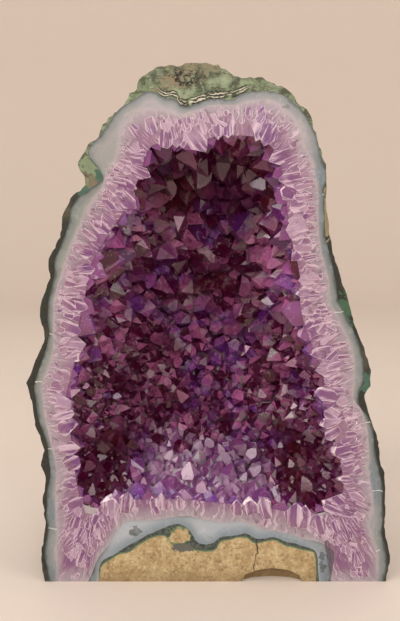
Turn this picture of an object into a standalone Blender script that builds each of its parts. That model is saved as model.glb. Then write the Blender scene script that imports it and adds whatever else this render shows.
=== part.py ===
"""Amethyst geode, sawn to an upright face and a flat base.

Metres, +Z up. The origin is under the middle of the geode's box, on the sawn base.
The sawn face is the plane y = FACE_Y and looks towards -Y. The hollow opens there.
"""

import math
import random
from collections import namedtuple

import bmesh
import bpy
from mathutils import Matrix, Vector, noise

MM = 0.001

# Driving sizes
DEPTH = 0.165               # sawn face to the back of the rind
FACE_Y = -0.0830            # the box of the lumpy back is then centred on y = 0
BASE_Z = 0.0
GAP = 0.0003                # between two layers
BACK_POLE = (-0.004, 0.138)  # x, z of the rearmost point
RIND_BACK_THICKNESS = 0.0085
AGATE_DEPTH = 0.149         # sawn face to the back of the agate's inner side, before the next value
AGATE_BACK_EXTRA = 0.0045
HOLLOW_DEPTH = 0.116        # sawn face to the tips of the rearmost points
ROOTS_BEHIND_TIPS = 0.0095  # the points' roots, outside the edge that their tips reach
HOLLOW_POLE = (-0.006, 0.166)
BULGE = 0.84                # exponent of the shells' side profile, 1 would be an ellipse

# The rind's edge on the sawn face, clockwise from the foot's left: x, z, rind thickness, all mm
RIND_EDGE = (
    (-112, -14, 2.6), (-112, 8, 2.6), (-113, 22, 2.6), (-110, 37, 2.6), (-111, 57, 2.6),
    (-109, 72, 2.8), (-112, 81, 3.0), (-109, 90, 2.8), (-115, 106, 3.0), (-117, 123, 3.0),
    (-120, 135, 3.4), (-114, 149, 3.2), (-107, 166, 2.8), (-111, 180, 3.2), (-107, 195, 2.8),
    (-103, 206, 2.8), (-105, 215, 3.0), (-96, 230, 3.0), (-94, 247, 4.0), (-87, 258, 7.0),
    (-79, 264, 8.0), (-81, 271, 8.0), (-85, 276, 8.0), (-80, 285, 5.5), (-66, 303, 4.5),
    (-55, 313, 5.5), (-48, 322, 9.0), (-42, 332, 14), (-31, 337, 17), (-20, 337, 21),
    (-8, 340, 24), (6, 338, 22), (14, 330, 14), (26, 331, 11), (39, 328, 8.5),
    (50, 320, 6.5), (60, 309, 5.5), (67, 296, 4.0), (70, 283, 3.2), (74, 269, 3.4),
    (73, 256, 3.0), (75, 241, 3.0), (77, 227, 3.0), (82, 207, 3.0), (88, 188, 3.4),
    (93, 174, 3.2), (100, 158, 3.4), (104, 144, 3.6), (105, 133, 4.0), (99, 126, 3.4),
    (103, 115, 3.2), (109, 100, 3.0), (112, 84, 3.0), (116, 68, 3.0), (116, 50, 3.0),
    (116, 34, 3.0), (120.5, 20, 3.0), (119, 4, 3.0), (117, -16, 3.0), (106, -60, 4.0),
    (66, -92, 4.0), (0, -104, 4.0), (-66, -92, 4.0), (-103, -60, 4.0),
)

# The agate's inner edge on the sawn face: x, z in mm
AGATE_EDGE = (
    (-103, -14), (-103, 16), (-102, 38), (-103, 58), (-103, 78), (-106, 97), (-110, 115),
    (-110, 134), (-104, 150), (-101, 170), (-100, 190), (-93, 214), (-84, 236), (-70, 256),
    (-67, 272), (-60, 285), (-54, 298), (-46, 306), (-34, 308), (-21, 305), (-6, 310),
    (12, 312), (28, 312), (44, 308), (54, 299), (60, 284), (66, 266), (68, 248),
    (69, 230), (73, 211), (77, 192), (84, 172), (91, 154), (93, 136), (93, 122),
    (100, 106), (103, 86), (107, 62), (106, 40), (109, 20), (109, -16),
    (97, -50), (60, -80), (0, -92), (-60, -80), (-94, -50),
)

# The edge of the open hollow on the sawn face, as the points leave it: x, z in mm
HOLLOW_EDGE = (
    (-82, 56), (-87, 76), (-88, 97), (-93, 120), (-87, 140), (-83, 158), (-82, 174),
    (-76, 193), (-75, 211), (-64, 227), (-54, 240), (-46, 254), (-40, 270), (-38, 284),
    (-30, 287), (-19, 281), (-6, 286), (9, 291), (24, 289), (35, 286), (41, 274),
    (43, 258), (45, 240), (48, 225), (54, 207), (53, 190), (55, 172), (62, 156),
    (69, 140), (71, 124), (73, 106), (79, 88), (85, 70), (82, 56), (58, 51),
    (30, 55), (0, 58), (-30, 60), (-58, 60),
)

# The host rock's top on the sawn face, with its dark skin: x, z in mm
ROCK_EDGE = (
    (-76, -14), (-75, 6), (-72, 15), (-62, 20), (-53, 26), (-41, 33), (-29, 37),
    (-20, 39.5), (-13, 35), (-10, 28), (-3, 26.5), (6, 31), (17, 33), (27, 29.5),
    (40, 30.5), (53, 27), (64, 24), (71, 18), (73, 4), (73, -14),
)
# The top of the agate that arches over it: x, z in mm
ARCH_EDGE = (
    (-83, -14), (-82, 8), (-77, 18), (-68, 28), (-60, 38), (-48, 41), (-32, 44),
    (-16, 45.5), (-4, 43), (14, 41.5), (30, 38), (46, 34.5), (60, 31), (74, 27),
    (82, 20), (82, 6), (81, -14),
)
ROCK_DEPTH = 0.098
ARCH_DEPTH = 0.150
CHIP_AT = (0.041, 0.0)      # x, z of the chip in the rock's lower front edge
CHIP_SIZE = (0.021, 0.009, 0.0095)

# The points
POINT_SPACING = 0.0192
POINT_TRIES = 4000
POINT_HEIGHT = (0.012, 0.021, 0.0155)  # least, most and usual height above the roots
POINT_BURIED = 0.0075
POINT_TILT = math.radians(22)
POINT_FACE_CLEARANCE = 0.0015   # roots start this far behind the sawn face
RHOMB_SLOPE = math.radians(51.8)    # between a point's faces and its base
POINT_HABITS = (1.03, 1.16, 1.32)   # height at which the small faces' planes meet, over the point's

# The lumps of the rind: size, height
BROAD_LUMPS = (0.058, 0.014)
FINE_LUMPS = (0.024, 0.0022)

# Rings of each shell, as angles from the sawn face to the back
SKIN_RINGS = (4, 13, 24, 36, 49, 63, 78)
INSIDE_RINGS = (11, 30, 50, 72)
# Rings of a rock ridge: part of its depth, of its width and of its height
RIDGE_RINGS = ((0.3, 1.0, 0.97), (0.6, 0.9, 0.92), (0.82, 0.72, 0.8), (0.95, 0.5, 0.62), (1.0, 0.25, 0.4))
RIDGE_COLLAR = 0.021

# One shell: its edge at the sawn face, the x, z and depth of its rearmost point, how far it runs
# past the face before it is cut, its inset from the edge, and its share of the rind's lumps
Layer = namedtuple("Layer", "edge pole depth collar inset lumps")


def rind_inset(index, share):
    """Rind thickness: as listed at the face, even at the back."""
    at_face = RIND_EDGE[index][2] * MM
    return at_face + (RIND_BACK_THICKNESS - at_face) * share ** 0.8


def agate_inset(index, share):
    """The agate lining grows thicker towards the back."""
    return AGATE_BACK_EXTRA * share ** 0.8


def root_inset(index, share):
    return -ROOTS_BEHIND_TIPS


def no_inset(index, share):
    return 0.0


RIND_SKIN = Layer(RIND_EDGE, BACK_POLE, DEPTH, 0.009, no_inset, 1.0)
RIND_INSIDE = Layer(RIND_EDGE, BACK_POLE, DEPTH, 0.012, rind_inset, 1.0)
AGATE_INSIDE = Layer(AGATE_EDGE, BACK_POLE, AGATE_DEPTH, 0.015, agate_inset, 1.0)
HOLLOW_WALL = Layer(HOLLOW_EDGE, HOLLOW_POLE, HOLLOW_DEPTH, 0.018, root_inset, 0.7)


def clear_scene():
    for item in list(bpy.data.objects):
        bpy.data.objects.remove(item)


def finish_material(name, colour, roughness, transmission=0.0, ior=1.5):
    material = bpy.data.materials.new(name)
    material.use_nodes = True
    shader = material.node_tree.nodes["Principled BSDF"]
    shader.inputs["Base Color"].default_value = (*colour, 1.0)
    shader.inputs["Roughness"].default_value = roughness
    shader.inputs["Metallic"].default_value = 0.0
    shader.inputs["Transmission Weight"].default_value = transmission
    shader.inputs["IOR"].default_value = ior
    material.diffuse_color = (*colour, 1.0)
    return material


def as_object(name, bm):
    """The mesh as an object, every quad split the same way so that neighbours stay parallel."""
    bmesh.ops.recalc_face_normals(bm, faces=bm.faces)
    bmesh.ops.triangulate(bm, faces=bm.faces, quad_method="FIXED")
    mesh = bpy.data.meshes.new(name)
    bm.to_mesh(mesh)
    bm.free()
    item = bpy.data.objects.new(name, mesh)
    bpy.context.scene.collection.objects.link(item)
    item.hide_render = True
    item.display_type = "WIRE"
    return item


def boolean(item, operation, tool, solver="EXACT"):
    step = item.modifiers.new(operation.lower(), "BOOLEAN")
    step.operation = operation
    step.solver = solver
    if isinstance(tool, bpy.types.Collection):
        step.operand_type = "COLLECTION"
        step.collection = tool
    else:
        step.object = tool


def offset(bm, distance):
    """Move every face of a closed mesh along its normal, by moving the corners."""
    bmesh.ops.recalc_face_normals(bm, faces=bm.faces)
    bm.normal_update()
    moves = [(vert, vert.normal * distance * vert.calc_shell_factor()) for vert in bm.verts]
    for vert, move in moves:
        vert.co += move


def calmed(rim, reach):
    """The rim with its small steps smoothed away, each point a weighted mean of its neighbours."""
    weights = [1 + reach - abs(step) for step in range(-reach, reach + 1)]
    smooth = []
    for index in range(len(rim)):
        total = Vector((0, 0))
        for step, weight in zip(range(-reach, reach + 1), weights):
            total += rim[(index + step) % len(rim)] * weight
        smooth.append(total / sum(weights))
    return smooth


def lump(place):
    """Height of the rind's lumps at a place, in metres."""
    broad_size, broad_height = BROAD_LUMPS
    fine_size, fine_height = FINE_LUMPS
    broad = noise.noise(place / broad_size + Vector((3.1, 0.7, 5.2)))
    fine = noise.noise(place / fine_size + Vector((8.4, 2.6, 1.3)))
    return broad_height * broad + fine_height * fine


def ramp(value, start, end):
    return min(1.0, max(0.0, (value - start) / (end - start)))


def extrude_loop(bm, loop, column, place):
    """Extrude a closed loop of edges once and put each new corner where its column belongs."""
    fresh = bmesh.ops.extrude_edge_only(bm, edges=loop)["geom"]
    for vert in fresh:
        if isinstance(vert, bmesh.types.BMVert):
            vert.co = place(vert[column])
    return [item for item in fresh if isinstance(item, bmesh.types.BMEdge)]


def first_loop(bm, column, count, place):
    """A face whose corners carry their column numbers; its edges start the extrusion."""
    corners = []
    for index in range(count):
        vert = bm.verts.new(place(index))
        vert[column] = index
        corners.append(vert)
    return list(bm.faces.new(corners).edges)


def shell(name, layer, rings, shrink=0.0):
    """A closed shell, extruded ring by ring from a collar in front of the face to the pole.

    The rim keeps every step of the listed edge at the face and grows calmer to the back.
    """
    rim = [Vector((point[0], point[1])) * MM for point in layer.edge]
    calm = calmed(rim, 3)
    round_rim = calmed(calm, 9)
    centre = Vector(layer.pole)

    def place_on_ring(index, angle):
        share = math.sin(angle)
        spread = math.cos(angle) ** BULGE
        along = calm[(index + 1) % len(calm)] - calm[index - 1]
        normal = Vector((-along.y, along.x)).normalized()
        corner = rim[index].lerp(calm[index], ramp(share, 0.0, 0.33))
        reach = corner.lerp(round_rim[index], ramp(share, 0.33, 0.89)) - centre
        back = FACE_Y + layer.depth * share ** BULGE
        side = Vector((centre.x + reach.x * spread, back, centre.y + reach.y * spread))
        lean = layer.depth * math.cos(angle) ** (2 - BULGE)
        rise = abs(reach.dot(normal)) * share ** (2 - BULGE)
        out = Vector((normal.x * lean, rise, normal.y * lean)).normalized()
        strength = layer.lumps * ramp(share, 0.0, 0.45)
        return side + out * (strength * lump(side) - layer.inset(index, share))

    def place_on_collar(index):
        return place_on_ring(index, 0.0) - Vector((0, layer.collar, 0))

    bm = bmesh.new()
    column = bm.verts.layers.int.new("column")
    loop = first_loop(bm, column, len(rim), place_on_collar)
    for degrees in rings:
        angle = math.radians(degrees)
        loop = extrude_loop(bm, loop, column, lambda index: place_on_ring(index, angle))
    tip = Vector((centre.x, FACE_Y + layer.depth - layer.inset(0, 1.0), centre.y))
    last = extrude_loop(bm, loop, column, lambda index: tip)
    closing = list(dict.fromkeys(vert for edge in last for vert in edge.verts))
    bmesh.ops.pointmerge(bm, verts=closing, merge_co=tip)
    if shrink:
        offset(bm, -shrink)
    return as_object(name, bm)


def ridge(name, edge, depth, grow=0.0):
    """A rock ridge behind an edge on the sawn face, sinking and narrowing to the back."""

    def place_on_ring(index, along, width, height):
        x, z = edge[index]
        sunk = z * height if z > 0 else z
        return Vector((x * MM * width, FACE_Y + depth * along, sunk * MM))

    def place_on_collar(index):
        return place_on_ring(index, 0.0, 1.0, 1.0) - Vector((0, RIDGE_COLLAR, 0))

    bm = bmesh.new()
    column = bm.verts.layers.int.new("column")
    loop = first_loop(bm, column, len(edge), place_on_collar)
    for ring in RIDGE_RINGS:
        loop = extrude_loop(bm, loop, column, lambda index: place_on_ring(index, *ring))
    bmesh.ops.edgeloop_fill(bm, edges=loop)
    if grow:
        offset(bm, grow)
    return as_object(name, bm)


def saw_block(name, base_z):
    """The space behind the sawn face and above the sawn base."""
    bm = bmesh.new()
    size = 0.8
    bmesh.ops.create_cube(bm, size=size)
    bmesh.ops.translate(bm, verts=bm.verts, vec=(0, FACE_Y + size / 2, base_z + size / 2))
    return as_object(name, bm)


def point_mesh(name, habit):
    """One point of unit height: three big rhomb faces, their edges cut by three smaller ones."""
    bm = bmesh.new()
    base_radius = 2 / math.tan(RHOMB_SLOPE)
    bmesh.ops.create_cone(bm, cap_ends=True, segments=3, radius1=base_radius, radius2=0, depth=1)
    bmesh.ops.translate(bm, verts=bm.verts, vec=(0, 0, 0.5))
    corners = [vert.co.normalized() for vert in bm.verts if vert.co.z < 0.5]
    for corner in corners:
        normal = corner * math.sin(RHOMB_SLOPE) + Vector((0, 0, math.cos(RHOMB_SLOPE)))
        whole = bm.verts[:] + bm.edges[:] + bm.faces[:]
        bmesh.ops.bisect_plane(bm, geom=whole, plane_co=(0, 0, habit), plane_no=normal, clear_outer=True)
        rims = [edge for edge in bm.edges if edge.is_boundary]
        bmesh.ops.holes_fill(bm, edges=rims, sides=0)
    bmesh.ops.recalc_face_normals(bm, faces=bm.faces)
    mesh = bpy.data.meshes.new(name)
    bm.to_mesh(mesh)
    bm.free()
    return mesh


def place_on_face(face, rng):
    """A seeded place on a triangle, every part of it equally likely."""
    a, b, c = sorted((vert.co for vert in face.verts), key=tuple)
    across = math.sqrt(rng.random())
    along = rng.random()
    return a * (1 - across) + b * (across * (1 - along)) + c * (across * along)


def spread_over(item, rng):
    """Seeded roots over an object's wall behind the sawn face, each with its inward direction.

    Faces and their corners are taken in order of place, so that every run picks the same roots.
    """
    bm = bmesh.new()
    bm.from_mesh(item.data)
    faces = sorted(bm.faces, key=lambda face: tuple(face.calc_center_median()))
    areas = [face.calc_area() for face in faces]
    chosen = []
    for face in rng.choices(faces, weights=areas, k=POINT_TRIES):
        place = place_on_face(face, rng)
        if place.y < FACE_Y + POINT_FACE_CLEARANCE:
            continue
        if all((place - other).length > POINT_SPACING for other, _ in chosen):
            chosen.append((place, -face.normal.copy()))
    bm.free()
    return chosen


def grow_points(wall, rng):
    """Amethyst points rooted in the hollow's wall, each leaning its own way."""
    habits = [point_mesh(f"point_habit_{habit}", habit) for habit in POINT_HABITS]
    group = bpy.data.collections.new("points")
    bpy.context.scene.collection.children.link(group)
    for number, (root, inward) in enumerate(spread_over(wall, rng)):
        height = rng.triangular(*POINT_HEIGHT)
        heading = Matrix.Rotation(rng.uniform(0, 2 * math.pi), 4, "Z")
        lean = Matrix.Rotation(POINT_TILT * rng.random() ** 0.7, 4, "X")
        turn = Matrix.Rotation(rng.uniform(0, 2 * math.pi), 4, "Z")
        aim = inward.to_track_quat("Z", "Y").to_matrix().to_4x4()
        sink = Matrix.Translation((0, 0, -POINT_BURIED))
        size = Matrix.Scale(height + POINT_BURIED, 4)
        item = bpy.data.objects.new(f"point_{number}", rng.choice(habits))
        item.matrix_world = Matrix.Translation(root) @ aim @ heading @ lean @ sink @ size @ turn
        item.hide_render = True
        item.display_type = "WIRE"
        group.objects.link(item)
    return group


def joined_to(seed, unseen):
    """Every corner that edges join to the seed, taken out of the unseen ones."""
    stack = [seed]
    piece = [seed]
    while stack:
        for edge in stack.pop().link_edges:
            for vert in edge.verts:
                if vert in unseen:
                    unseen.remove(vert)
                    stack.append(vert)
                    piece.append(vert)
    return piece


def largest_piece(name, item):
    """The object's evaluated mesh with every small closed pocket left out."""
    graph = bpy.context.evaluated_depsgraph_get()
    bm = bmesh.new()
    bm.from_mesh(item.evaluated_get(graph).to_mesh())
    unseen = set(bm.verts)
    pieces = []
    for seed in bm.verts:
        if seed in unseen:
            unseen.remove(seed)
            pieces.append(joined_to(seed, unseen))
    pieces.sort(key=len)
    for piece in pieces[:-1]:
        bmesh.ops.delete(bm, geom=piece, context="VERTS")
    return as_object(name, bm)


def show_as(item, material):
    item.data.materials.append(material)
    item.hide_render = False
    item.display_type = "TEXTURED"


clear_scene()
saw = saw_block("saw_block", BASE_Z)
saw_above_base = saw_block("saw_block_above_base", BASE_Z + GAP)

# The weathered skin of the geode and the green crust on its crest.
rind = shell("basalt_rind", RIND_SKIN, SKIN_RINGS)
boolean(rind, "DIFFERENCE", shell("rind_inside", RIND_INSIDE, INSIDE_RINGS))
boolean(rind, "INTERSECT", saw)
show_as(rind, finish_material("weathered_rind", (0.055, 0.062, 0.045), 0.9))

# The agate lining, which arches over the host rock at the foot.
agate_inside = shell("agate_inside", AGATE_INSIDE, INSIDE_RINGS)
boolean(agate_inside, "DIFFERENCE", ridge("agate_arch", ARCH_EDGE, ARCH_DEPTH))
agate = shell("agate_band", RIND_INSIDE, INSIDE_RINGS, GAP)
boolean(agate, "DIFFERENCE", agate_inside)
boolean(agate, "DIFFERENCE", ridge("rock_room", ROCK_EDGE, ROCK_DEPTH, GAP))
boolean(agate, "INTERSECT", saw)
show_as(agate, finish_material("grey_agate", (0.33, 0.35, 0.36), 0.22))

# The crust of quartz roots and amethyst points around the open hollow. The exact solver loses
# this mesh at the saw cut, so its cuts use the manifold solver.
hollow_wall = shell("hollow_wall", HOLLOW_WALL, INSIDE_RINGS)
boolean(hollow_wall, "DIFFERENCE", grow_points(hollow_wall, random.Random(7)))
crust = shell("amethyst_crust", AGATE_INSIDE, INSIDE_RINGS, GAP)
boolean(crust, "DIFFERENCE", largest_piece("open_hollow", hollow_wall), "MANIFOLD")
boolean(crust, "DIFFERENCE", ridge("arch_room", ARCH_EDGE, ARCH_DEPTH, GAP), "MANIFOLD")
boolean(crust, "INTERSECT", saw_above_base, "MANIFOLD")
show_as(crust, finish_material("amethyst", (0.17, 0.05, 0.19), 0.12, transmission=0.6, ior=1.544))

# The host rock at the foot, chipped along its lower front edge.
chip = bmesh.new()
bmesh.ops.create_icosphere(chip, subdivisions=2, radius=1.0)
bmesh.ops.scale(chip, verts=chip.verts, vec=CHIP_SIZE)
bmesh.ops.translate(chip, verts=chip.verts, vec=(CHIP_AT[0], FACE_Y, CHIP_AT[1]))
rock = ridge("matrix_rock", ROCK_EDGE, ROCK_DEPTH)
boolean(rock, "INTERSECT", saw)
boolean(rock, "DIFFERENCE", as_object("rock_chip", chip))
show_as(rock, finish_material("tan_host_rock", (0.42, 0.31, 0.19), 0.85))
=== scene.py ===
import math
import random

import bmesh
import bpy
import numpy as np
from mathutils import Matrix, Vector, noise
from mathutils.bvhtree import BVHTree


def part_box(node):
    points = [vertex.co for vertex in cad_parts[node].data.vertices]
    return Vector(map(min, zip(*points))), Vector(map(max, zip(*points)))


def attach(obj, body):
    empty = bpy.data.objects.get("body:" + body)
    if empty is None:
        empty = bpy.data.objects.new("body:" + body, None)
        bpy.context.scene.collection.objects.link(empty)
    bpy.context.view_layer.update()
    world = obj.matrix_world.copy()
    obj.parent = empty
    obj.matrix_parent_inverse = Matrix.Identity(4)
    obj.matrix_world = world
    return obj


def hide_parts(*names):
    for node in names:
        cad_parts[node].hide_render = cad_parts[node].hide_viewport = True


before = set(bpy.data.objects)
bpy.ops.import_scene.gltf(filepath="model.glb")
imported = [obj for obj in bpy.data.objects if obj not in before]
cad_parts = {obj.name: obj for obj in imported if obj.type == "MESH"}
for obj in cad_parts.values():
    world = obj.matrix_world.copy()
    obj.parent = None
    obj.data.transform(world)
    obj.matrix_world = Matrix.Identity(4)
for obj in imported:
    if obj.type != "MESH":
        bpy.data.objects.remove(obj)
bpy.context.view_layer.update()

# The view. The geode is seen from straight in front of its sawn face, from a little above its
# middle, so that the camera looks slightly down into the hollow.
FACE_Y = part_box("matrix_rock")[0].y
VIEW_FROM = (-0.007, FACE_Y - 0.542, 0.2368)
VIEW_PITCH = math.radians(5.7)
VIEW_LENS = 48.64


def placed(name, data):
    """An object of the scene for a mesh, a lamp or a camera."""
    item = bpy.data.objects.new(name, data)
    bpy.context.scene.collection.objects.link(item)
    return item


view_lens = bpy.data.cameras.new("view")
view_lens.lens = VIEW_LENS
view = placed("view", view_lens)
view.location = VIEW_FROM
view.rotation_euler = (math.radians(90) - VIEW_PITCH, 0, 0)
bpy.context.scene.camera = view


# Basalt rind. The weathered skin of the geode: thin dark basalt on the sides and back, with a thick
# lumpy crust of green celadonite on the crest. It is left as found, but for the sawn face and base.
MM = 0.001
WELD = 0.00001
BASE_TOUCH = 0.0006
RIND_COLUMN = 0.0026
RIND_RINGS, RIND_FACE_ROWS, RIND_INSIDE_RINGS = 62, 8, 9
RIND_HEART = Vector((-0.004, -0.012, 0.120))
RIND_SMOOTHING = 14
POLE_SHARE = 0.9999         # how near to its pole a rounded back brings its last ring
BEHIND_FACE = 0.00084       # where the plates of the sawn face meet the bodies behind them
FACING_STEP = 0.0005        # how closely the facing places of two borders are sought
FACING_DRIFT = 0.15         # how far along, as a share of the border, a facing place may lie
SEAM_STEP = 0.0015
SEAM_WANDER = (0.0006, 0.009)       # how far the layers' borders wander, over what length
SEAM_SHIFTS = (Vector((3.1, 0, 7.7)), Vector((9.4, 5.2, 0)))
SKIN_LUMPS = ((0.034, 0.0030), (0.014, 0.0021), (0.0065, 0.0011))   # their lengths and heights
CREST_LUMPS = 1.3
CREST_FROM = (0.262, 0.306)         # heights between which the skin turns to the crest's crust
CREST_PITS = (0.0045, 0.0009)       # length and depth of the pits in the crest's sawn face
FLAKES = ((0.0062, 1.0), (0.0027, 0.7))     # lengths of the flakes along the sawn edge, and their shares
FLAKE_STAND = 0.3
FLAKE_REACH, CREST_REACH = 0.0010, 0.0016   # how far they stand out on the sides, and more on the crest
RIND_EDGE = (               # the rind's inner border on the sawn face, x and z in mm, left to right
    (-108, 0), (-110, 11), (-111, 22), (-108, 36), (-109, 47), (-109, 59), (-106, 73), (-107, 86),
    (-108, 97), (-113, 108), (-115, 124), (-116, 134), (-112, 144), (-108, 156), (-105, 167),
    (-106, 175), (-106, 183), (-104, 195), (-101, 206), (-101, 214), (-98, 222), (-94, 230),
    (-91, 239), (-90, 249), (-84, 256), (-76, 262), (-71, 265), (-68, 269), (-73, 275), (-78, 280),
    (-78, 286), (-72, 293), (-66, 300), (-58, 312), (-50, 316), (-42, 322), (-34, 322), (-31, 318),
    (-23, 318), (-20, 313), (-18, 312), (-13, 313), (-4, 316), (1, 318), (7, 317), (13, 316),
    (18, 320), (23, 322), (31, 322), (41, 322), (47, 319), (56, 312), (62, 304), (67, 295),
    (70, 282), (73, 275), (74, 268), (72, 260), (73, 251), (73, 240), (74, 228), (78, 215),
    (81, 199), (82, 190), (87, 180), (92, 172), (96, 163), (99, 152), (100, 143), (100, 134),
    (98, 130), (96, 125), (98, 119), (103, 114), (106, 107), (108, 95), (110, 82), (112, 74),
    (114, 64), (114, 56), (115, 49), (114, 34), (117, 22), (118, 9), (116, 0),
)


def merged_copy(node):
    bm = bmesh.new()
    bm.from_mesh(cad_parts[node].data)
    bmesh.ops.remove_doubles(bm, verts=bm.verts, dist=WELD)
    return bm


def sawn_rims(node, with_base=False):
    """The closed edges of a node's sawn face, or of its face and base, each in order, longest first."""

    def is_sawn(face):
        on_face = all(abs(vert.co.y - FACE_Y) < WELD for vert in face.verts)
        on_base = with_base and all(abs(vert.co.z) < WELD for vert in face.verts)
        return on_face or on_base

    bm = merged_copy(node)
    rim = [edge for edge in bm.edges if [is_sawn(face) for face in edge.link_faces].count(True) == 1]
    rim.sort(key=lambda edge: tuple(edge.verts[0].co + edge.verts[1].co))
    loops = []
    while rim:
        edge = rim.pop(0)
        start, vert = edge.verts
        loop = [start.co.copy()]
        while vert != start:
            loop.append(vert.co.copy())
            edge = next(other for other in rim if vert in other.verts)
            rim.remove(edge)
            vert = edge.other_vert(vert)
        loops.append(loop)
    bm.free()
    return sorted(loops, key=lambda loop: -sum((a - b).length for a, b in zip(loop, loop[1:])))


def halves(loop):
    """A closed rim as its way over the top and its way underneath, both from left to right."""
    feet = [point for point in loop if point.z < BASE_TOUCH and abs(point.y - FACE_Y) < WELD]
    left = loop.index(min(feet, key=lambda point: point.x))
    loop = loop[left:] + loop[:left]
    right = loop.index(max(feet, key=lambda point: point.x))
    one, other = loop[:right + 1], loop[:1] + loop[right:][::-1]
    by_height = sorted((one, other), key=lambda way: max(point.z for point in way) + way[1].z)
    return by_height[1], by_height[0]


def evenly(points, spacing):
    """Places about every `spacing` along a line of points, both ends kept."""
    line = np.array([tuple(point) for point in points])
    marks = np.concatenate([[0], np.cumsum(np.linalg.norm(np.diff(line, axis=0), axis=1))])
    wanted = np.linspace(0, marks[-1], max(2, round(marks[-1] / spacing)) + 1)
    parts = [np.interp(wanted, marks, line[:, part]) for part in range(3)]
    return [Vector(place) for place in np.stack(parts, 1)]


def calmed(line, times, closed=False):
    """A line of places, or of numbers, drawn towards their neighbours; an open line keeps its ends."""
    for _ in range(times):
        before, after = line[-1:] + line[:-1], line[1:] + line[:1]
        drawn = [(a + 2 * b + c) / 4 for a, b, c in zip(before, line, after)]
        line = drawn if closed else line[:1] + drawn[1:-1] + line[-1:]
    return line


def facing(edge, other, calm):
    """For each place of one edge, the place of the other that faces it, kept in order and calmed."""
    dense = evenly(other, FACING_STEP)
    line = np.array([tuple(place) for place in dense])
    shares = np.linspace(0, 1, len(dense))
    nearest = []
    for index, place in enumerate(edge):
        apart = np.sqrt(((line - tuple(place)) ** 2).sum(1))
        apart[np.abs(shares - index / (len(edge) - 1)) > FACING_DRIFT] = 1.0
        nearest.append(int(np.argmin(apart)))
    order = [float(index) for index in np.maximum.accumulate(nearest)]
    order[0], order[-1] = 0.0, len(dense) - 1.0
    return [dense[int(round(index))] for index in calmed(order, calm)]


def face_line(points):
    """Places of the sawn face from their x and z in mm."""
    return [Vector((x * MM, FACE_Y, z * MM)) for x, z in points]


def grown_border(points):
    """A border of the sawn face through places in mm, rounded a little and wandering as grown layers do."""
    line = calmed(evenly(face_line(points), SEAM_STEP), 3)
    reach, length = SEAM_WANDER
    for point in line:
        aside, aloft = (
            noise.noise(point / length + shift) + 0.5 * noise.noise(point / (length * 0.36) + shift)
            for shift in SEAM_SHIFTS)
        off_base = min(1.0, max(0.0, point.z / 0.006))
        point += Vector((aside, 0, aloft * off_base)) * reach
    return line


def swept(lines, marks, closed=True):
    """A skin through lines of places that match one another, with its first and its last vertices.

    Each vertex holds its number along its line as `column` and its line's mark as `layer`.
    """
    bm = bmesh.new()
    column = bm.verts.layers.int.new("column")
    layer = bm.verts.layers.float.new("layer")
    bmesh.ops.create_circle(bm, segments=len(lines[0]), radius=1)
    first = fresh = bm.verts[:]
    for index, vert in enumerate(fresh):
        vert[column] = index
    if not closed:
        bmesh.ops.delete(bm, geom=[bm.edges.get((fresh[0], fresh[-1]))], context="EDGES")
    loop = bm.edges[:]
    for number, (line, mark) in enumerate(zip(lines, marks)):
        if number:
            grown = bmesh.ops.extrude_edge_only(bm, edges=loop)["geom"]
            fresh = [item for item in grown if isinstance(item, bmesh.types.BMVert)]
            loop = [item for item in grown if isinstance(item, bmesh.types.BMEdge)]
        for vert in fresh:
            vert.co = line[vert[column]]
            vert[layer] = mark
    return bm, first, fresh


def rolled(rings, marks):
    """A closed skin through rings of places, its first and last ring each drawn to a tip."""
    bm, first, last = swept(rings, marks)
    bmesh.ops.pointmerge(bm, verts=first, merge_co=rings[0][0])
    bmesh.ops.pointmerge(bm, verts=last, merge_co=rings[-1][0])
    bmesh.ops.recalc_face_normals(bm, faces=bm.faces)
    return bm


def fade(value, start, end):
    share = min(1.0, max(0.0, (value - start) / (end - start)))
    return share * share * (3 - 2 * share)


def flaked(rim):
    """The skin's edge on the sawn face, left to right, with the small flakes that stand out from it."""
    ragged = []
    for index, place in enumerate(rim):
        along = rim[min(index + 2, len(rim) - 1)] - rim[max(index - 2, 0)]
        away = Vector((-along.z, 0, along.x)).normalized()
        flake = FLAKE_STAND + sum(share * noise.noise(place / length) for length, share in FLAKES)
        reach = FLAKE_REACH + CREST_REACH * fade(place.z, *CREST_FROM)
        ragged.append(place + away * flake * reach * fade(place.z, 0.001, 0.008))
    return ragged


rind_outer, rind_inner = (halves(loop) for loop in sawn_rims("basalt_rind", with_base=True))
rind_seam = grown_border(RIND_EDGE)
skin_face = flaked(evenly(rind_outer[0], RIND_COLUMN))
skin_base = evenly(rind_outer[1], RIND_COLUMN)
hidden_base = facing(skin_base, rind_inner[1], 30)
hidden_face = facing(skin_face, rind_inner[0], 30)
seam_face = facing(skin_face, rind_seam, 30)
seam_base = [inner.lerp(outer, 0.05) for inner, outer in zip(hidden_base, skin_base)]
skin_rim = skin_face + skin_base[-2:0:-1]
seam_rim = seam_face + seam_base[-2:0:-1]
inward_step = [Vector((0, BEHIND_FACE, 0))] * len(skin_face)
inward_step += [Vector((0, 0, BEHIND_FACE))] * (len(skin_base) - 2)
hidden_rim = [place + step for place, step in zip(hidden_face + hidden_base[-2:0:-1], inward_step)]
stepped_rim = [place + step for place, step in zip(seam_rim, inward_step)]

rind_tree = BVHTree.FromBMesh(merged_copy("basalt_rind"))
rind_pole = Vector((0, 1, 0))


def rind_ring(rim, share, outside):
    """Where rays from the geode's heart meet the rind, part of the way from its rim to its back."""
    ring = []
    for place in rim:
        way = (place - RIND_HEART).normalized().slerp(rind_pole, share)
        if outside:
            hit = rind_tree.ray_cast(RIND_HEART + way, -way)[0]
        else:
            hit = rind_tree.ray_cast(RIND_HEART, way)[0]
        ring.append(hit if hit else ring[-1])
    return ring


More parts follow.
